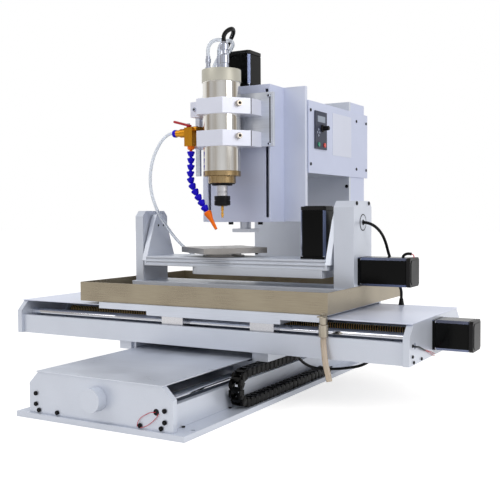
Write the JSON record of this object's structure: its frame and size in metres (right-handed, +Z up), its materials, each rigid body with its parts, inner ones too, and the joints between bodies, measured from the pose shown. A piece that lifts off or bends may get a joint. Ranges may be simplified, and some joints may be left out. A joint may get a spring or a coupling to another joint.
{
  "type": "five-axis bench milling machine",
  "caption": "Bench-top CNC mill with a crosswise table beam, a tilting and turning work cradle, and a water-cooled spindle on a rear column.",
  "frame": {"origin": "middle of the base plate's underside, at the centre of its four bolt holes", "axes": "+Z up, front towards -Y, operator's right towards +X"},
  "size_m": [0.996, 0.924, 0.7597],
  "materials": {
    "anodised": "satin anodised",
    "sheet": "satin sheet",
    "rail_steel": "polished",
    "screw_steel": "oiled",
    "motor_black": "satin black",
    "tray_steel": "brushed",
    "black_plastic": "matt",
    "black_steel": "blackened",
    "spindle_steel": "turned",
    "blue_plastic": "gloss",
    "orange_plastic": "gloss",
    "brass_plain": "satin",
    "red_paint": "gloss",
    "keypad_face": "satin",
    "green_plastic": "gloss",
    "red_plastic": "gloss",
    "cutter_gold": "coated",
    "clear_tube": "clear soft tube",
    "cable_black": "matt"
  },
  "bodies": {
    "frame": {"base_plate": "anodised", "base_box": "anodised", "base_cover": "sheet", "guide_rails": "rail_steel", "screw_bearings": "anodised", "axis_motors": "motor_black", "column_front": "anodised", "column_shell": "anodised", "arm_box_plates": "anodised", "arm_box_covers": "sheet", "mount_plate": "anodised", "head_housing": "anodised", "keypad_case": "keypad_face", "frame_screws": "black_steel", "coolant_tube": "clear_tube", "coolant_coil": "clear_tube"},
    "y_axis": {"saddle": "anodised", "y_chain": "black_plastic", "beam_panels": "anodised", "beam_ends": "anodised", "beam_cover": "sheet", "x_rails": "rail_steel", "x_motor": "motor_black", "beam_cable": "cable_black"},
    "x_axis": {"carriage_plate": "anodised", "carriage_blocks": "anodised", "tray": "tray_steel", "drain_fitting": "anodised", "trunnion_base": "anodised", "trunnion_posts": "anodised", "tilt_motor": "motor_black", "drain_hose": "clear_tube", "tilt_cable": "cable_black"},
    "cradle": {"cradle_arms": "anodised", "cradle_plate": "anodised", "belt_housing": "anodised", "turn_motor": "motor_black", "turn_bearing": "black_steel"},
    "rotary": {"rotary_plate": "anodised"},
    "z_axis": {"z_slide_plate": "anodised", "spindle_clamps": "anodised", "spindle_body": "spindle_steel", "spindle_fittings": "rail_steel", "coolant_valve": "brass_plain", "spindle_cable": "cable_black", "water_feed": "clear_tube", "water_return": "clear_tube"},
    "rotor": {"collet_nut": "black_steel", "end_mill": "cutter_gold"},
    "y_ball_screw": {"y_screw": "screw_steel"},
    "x_ball_screw": {"x_screw": "screw_steel"},
    "z_ball_screw": {"z_screw": "screw_steel"},
    "lever": {"valve_lever": "red_paint"},
    "hose_a": {"hose_upper": "blue_plastic"},
    "hose_b": {"hose_middle": "blue_plastic"},
    "hose_c": {"hose_lower": "blue_plastic"},
    "nozzle": {"hose_nozzle": "orange_plastic"},
    "knob": {"keypad_knob": "black_plastic"},
    "start": {"start_button": "green_plastic"},
    "stop": {"stop_button": "red_plastic"}
  },
  "joints": [
    {"name": "y_slide", "type": "slide", "parent": "frame", "child": "y_axis", "axis": [0, 1, 0], "range_m": [-0.265, 0.034], "deforming": ["y_chain"]},
    {"name": "x_slide", "type": "slide", "parent": "y_axis", "child": "x_axis", "axis": [1, 0, 0], "range_m": [-0.088, 0.034], "deforming": ["tilt_cable"]},
    {"name": "tilt", "type": "hinge", "parent": "x_axis", "child": "cradle", "pos_m": [0, 0.01, 0.345], "axis": [1, 0, 0], "range_deg": [-38, 24]},
    {"name": "turn", "type": "hinge", "parent": "cradle", "child": "rotary", "pos_m": [-0.027, 0.01, 0.2795], "axis": [0, 0, 1], "continuous": true},
    {"name": "z_slide", "type": "slide", "parent": "frame", "child": "z_axis", "axis": [0, 0, 1], "range_m": [-0.038, 0.012], "deforming": ["spindle_cable", "water_feed", "water_return", "coolant_tube"]},
    {"name": "spindle_turn", "type": "hinge", "parent": "z_axis", "child": "rotor", "pos_m": [0, -0.037, 0.4], "axis": [0, 0, 1], "continuous": true},
    {"name": "y_screw_turn", "type": "hinge", "parent": "frame", "child": "y_ball_screw", "pos_m": [0, -0.155, 0.05], "axis": [0, 1, 0], "continuous": true},
    {"name": "x_screw_turn", "type": "hinge", "parent": "y_axis", "child": "x_ball_screw", "pos_m": [0, -0.0215, 0.138], "axis": [1, 0, 0], "continuous": true},
    {"name": "z_screw_turn", "type": "hinge", "parent": "frame", "child": "z_ball_screw", "pos_m": [0, 0.061, 0.4], "axis": [0, 0, 1], "continuous": true},
    {"name": "lever_turn", "type": "hinge", "parent": "z_axis", "child": "lever", "pos_m": [-0.0745, -0.053, 0.553], "axis": [0, 0, 1], "range_deg": [0, 90]},
    {"name": "hose_bend_upper", "type": "hinge", "parent": "z_axis", "child": "hose_a", "pos_m": [-0.0683, -0.053, 0.4965], "axis": [0, 1, 0], "range_deg": [0, 15]},
    {"name": "hose_bend_middle", "type": "hinge", "parent": "hose_a", "child": "hose_b", "pos_m": [-0.07003, -0.053, 0.45396], "axis": [0, 1, 0], "range_deg": [0, 15]},
    {"name": "hose_bend_lower", "type": "hinge", "parent": "hose_b", "child": "hose_c", "pos_m": [-0.05925, -0.053, 0.41369], "axis": [0, 1, 0], "range_deg": [-3, 15]},
    {"name": "nozzle_bend", "type": "hinge", "parent": "hose_c", "child": "nozzle", "pos_m": [-0.02708, -0.053, 0.36689], "axis": [0, 1, 0], "range_deg": [-10, 15]},
    {"name": "knob_turn", "type": "hinge", "parent": "frame", "child": "knob", "pos_m": [0.144, 0.1685, 0.555], "axis": [1, 0, 0], "range_deg": [-135, 135]},
    {"name": "start_press", "type": "slide", "parent": "frame", "child": "start", "axis": [1, 0, 0], "range_m": [-0.0012, 0], "stiffness_N_per_m": 400},
    {"name": "stop_press", "type": "slide", "parent": "frame", "child": "stop", "axis": [1, 0, 0], "range_m": [-0.0012, 0], "stiffness_N_per_m": 400}
  ],
  "couplings": [
    {"joint": "y_screw_turn", "follows": "y_slide", "rad_per_m": 1256.6},
    {"joint": "x_screw_turn", "follows": "x_slide", "rad_per_m": 1256.6},
    {"joint": "z_screw_turn", "follows": "z_slide", "rad_per_m": 1256.6}
  ]
}
